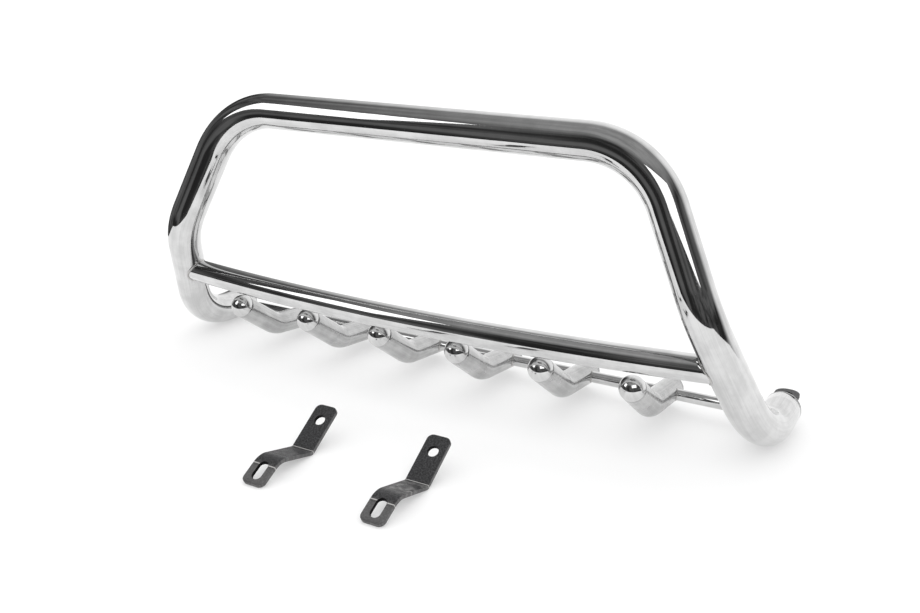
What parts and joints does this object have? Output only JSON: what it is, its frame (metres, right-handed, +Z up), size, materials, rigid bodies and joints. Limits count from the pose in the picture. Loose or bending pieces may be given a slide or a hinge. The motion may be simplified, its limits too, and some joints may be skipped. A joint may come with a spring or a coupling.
{
  "type": "front grille guard",
  "caption": "Polished tubular front grille guard: a splayed hoop with a bowed cross bar, forward-curled teeth on a thin rod, rear frame tabs and loose cranked mounting brackets.",
  "frame": {"origin": "midway between the two frame tab holes, on the upper face of the tabs", "axes": "+X to the right as seen from in front of the vehicle, +Y rearward towards the vehicle, +Z up"},
  "size_m": [1.194, 0.6318, 0.508],
  "materials": {
    "polished_stainless": "mirror-polished stainless steel tube",
    "black_paint": "semi-matt black paint on steel plate",
    "bracket_paint": "matt black paint, rubbed to bare steel at the bends"
  },
  "bodies": {
    "guard": {"main_hoop": "polished_stainless", "cross_bar": "polished_stainless", "tooth_rod": "polished_stainless", "tooth_1": "polished_stainless", "tooth_1_dome": "polished_stainless", "tooth_1_plug": "polished_stainless", "tooth_2": "polished_stainless", "tooth_2_dome": "polished_stainless", "tooth_2_plug": "polished_stainless", "tooth_3": "polished_stainless", "tooth_3_dome": "polished_stainless", "tooth_3_plug": "polished_stainless", "tooth_4": "polished_stainless", "tooth_4_dome": "polished_stainless", "tooth_4_plug": "polished_stainless", "tooth_5": "polished_stainless", "tooth_5_dome": "polished_stainless", "tooth_5_plug": "polished_stainless", "tooth_6": "polished_stainless", "tooth_6_dome": "polished_stainless", "tooth_6_plug": "polished_stainless", "left_end_plate": "polished_stainless", "left_tab": "black_paint", "right_end_plate": "polished_stainless", "right_tab": "black_paint"},
    "left_bracket": {"left_bracket": "bracket_paint"},
    "right_bracket": {"right_bracket": "bracket_paint"}
  },
  "joints": [
    {"name": "left_bracket_lift", "type": "slide", "parent": "guard", "child": "left_bracket", "axis": [0, 0, 1], "range_m": [0, 0.15]},
    {"name": "right_bracket_lift", "type": "slide", "parent": "guard", "child": "right_bracket", "axis": [0, 0, 1], "range_m": [0, 0.15]}
  ]
}
